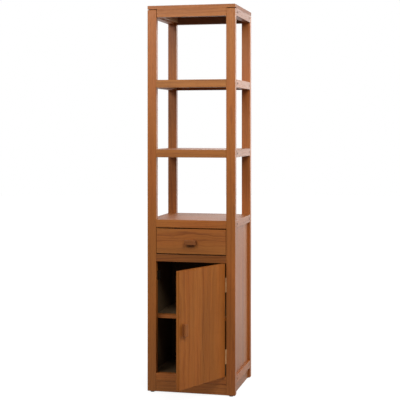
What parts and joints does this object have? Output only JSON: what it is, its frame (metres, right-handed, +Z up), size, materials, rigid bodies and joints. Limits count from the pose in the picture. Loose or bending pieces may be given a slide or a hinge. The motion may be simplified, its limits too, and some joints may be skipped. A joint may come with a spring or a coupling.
{
  "type": "bathroom shelf cabinet",
  "caption": "Tall narrow teak bathroom shelf tower with open shelves over a drawer and a cupboard whose door stands open.",
  "frame": {"origin": "on the floor, under the middle of everything as stored, the open door included; the middle of the four feet is 148.5 mm behind it", "axes": "+Z up, -Y is the front, +X is the right side seen from the front"},
  "size_m": [0.413, 0.689, 1.78],
  "materials": {
    "teak": "oiled, satin",
    "front_wood": "oiled, satin",
    "panel_wood": "oiled, satin",
    "box_wood": "bare, sanded",
    "pull_wood": "stained darker, satin",
    "brass": "satin",
    "brass_screw": "satin",
    "steel_screw": "zinc plated",
    "fitting_metal": "dark bronze",
    "glide_plastic": "matte",
    "catch_plastic": "matte"
  },
  "bodies": {
    "cabinet": {"back_panel": "panel_wood", "base_rail_front": "teak", "base_rail_left": "teak", "base_rail_rear": "teak", "base_rail_right": "teak", "cam_bolts": "fitting_metal", "counter_boards": "teak", "counter_rail_front": "teak", "counter_rail_left": "teak", "counter_rail_rear": "teak", "counter_rail_right": "teak", "cupboard_floor": "teak", "divider_rail": "teak", "door_catch": "catch_plastic", "drawer_runners": "teak", "drawer_stops": "teak", "foot_glides": "glide_plastic", "hinge_pins": "brass", "hinge_post_leaves": "brass", "hinge_post_screws": "brass_screw", "inner_shelf": "teak", "kick_board_front": "teak", "kick_board_rear": "teak", "kick_boards_side": "teak", "middle_shelf_boards": "teak", "middle_shelf_rail_front": "teak", "middle_shelf_rail_left": "teak", "middle_shelf_rail_rear": "teak", "middle_shelf_rail_right": "teak", "post_front_left": "teak", "post_front_right": "teak", "post_rear_left": "teak", "post_rear_right": "teak", "rail_cams": "fitting_metal", "shelf_battens": "teak", "shelf_pins": "steel_screw", "side_panel_left": "panel_wood", "side_panel_right": "panel_wood", "top_apron_front": "teak", "top_apron_rear": "teak", "top_board": "teak", "top_rail_left": "teak", "top_rail_right": "teak", "upper_shelf_boards": "teak", "upper_shelf_rail_front": "teak", "upper_shelf_rail_left": "teak", "upper_shelf_rail_rear": "teak", "upper_shelf_rail_right": "teak"},
    "drawer": {"drawer_front": "front_wood", "drawer_sides": "box_wood", "drawer_back": "box_wood", "drawer_bottom": "box_wood", "drawer_pull": "pull_wood", "drawer_pull_screws": "steel_screw"},
    "door": {"door_panel": "front_wood", "door_pull": "pull_wood", "door_pull_screws": "steel_screw", "hinge_door_leaves": "brass", "hinge_door_screws": "brass_screw", "catch_plate": "steel_screw"}
  },
  "joints": [
    {"name": "drawer_slide", "type": "slide", "parent": "cabinet", "child": "drawer", "axis": [0, -1, 0], "range_m": [0, 0.25]},
    {"name": "door_hinge", "type": "hinge", "parent": "cabinet", "child": "door", "pos_m": [0.1637, -0.05017, 0.34625], "axis": [0, 0, 1], "range_deg": [-65, 105]}
  ]
}
